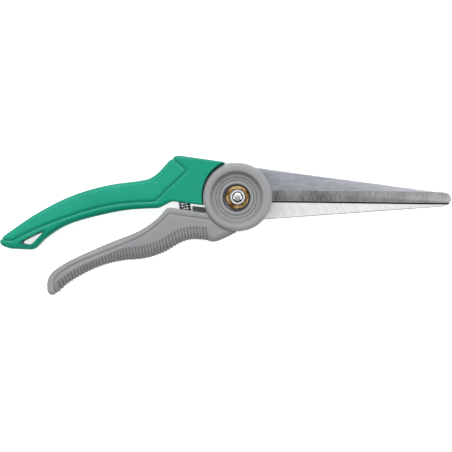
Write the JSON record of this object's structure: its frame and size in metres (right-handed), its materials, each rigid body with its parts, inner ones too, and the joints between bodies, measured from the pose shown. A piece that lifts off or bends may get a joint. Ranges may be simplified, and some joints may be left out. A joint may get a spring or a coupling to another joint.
{
  "type": "pruning shears",
  "caption": "Spring-loaded one-handed pruning shears with long straight blades, a dished round pivot hub, a smooth palm handle and a ribbed finger handle.",
  "frame": {"origin": "centre of the pivot bolt's flat head face, on the plane of the handle backs", "axes": "+X along the closed blades to their tips, +Y from the finger handle to the palm handle, +Z along the pivot to its nut"},
  "size_m": [0.2901, 0.0894, 0.022],
  "materials": {
    "palm_plastic": "satin green",
    "palm_soft": "matt green",
    "finger_plastic": "satin grey",
    "finger_soft": "matt grey",
    "blade_steel": "ground and brushed",
    "steel": "bright zinc",
    "brass": "turned",
    "black_plastic": "matt black",
    "dark_rubber": "matt dark grey"
  },
  "bodies": {
    "palm_side": {"palm_handle": "palm_plastic", "palm_grip_pad": "palm_soft", "back_blade": "blade_steel", "rear_hub_cover": "palm_plastic", "pivot_bolt": "steel", "pivot_nut": "steel", "brass_washer": "brass", "head_washer": "steel", "pivot_bushing": "steel", "palm_tang_pin_1": "steel", "palm_tang_pin_2": "steel", "palm_spring_seat": "black_plastic", "coil_spring": "steel", "catch_pin": "steel"},
    "finger_side": {"finger_handle": "finger_plastic", "finger_grip_pad": "finger_soft", "front_blade": "blade_steel", "front_hub_cover": "finger_plastic", "finger_tang_pin_1": "steel", "finger_tang_pin_2": "steel", "finger_spring_seat": "black_plastic", "stop_bumper": "dark_rubber", "catch_stud": "steel"},
    "catch": {"catch_lever": "black_plastic"}
  },
  "joints": [
    {"name": "pivot", "type": "hinge", "parent": "palm_side", "child": "finger_side", "pos_m": [0, 0, 0.011], "axis": [0, 0, 1], "range_deg": [0, 30], "deforming": ["coil_spring"]},
    {"name": "catch_pivot", "type": "hinge", "parent": "palm_side", "child": "catch", "pos_m": [-0.031, 0.005, 0.002], "axis": [0, 0, 1], "range_deg": [0, 14]}
  ]
}
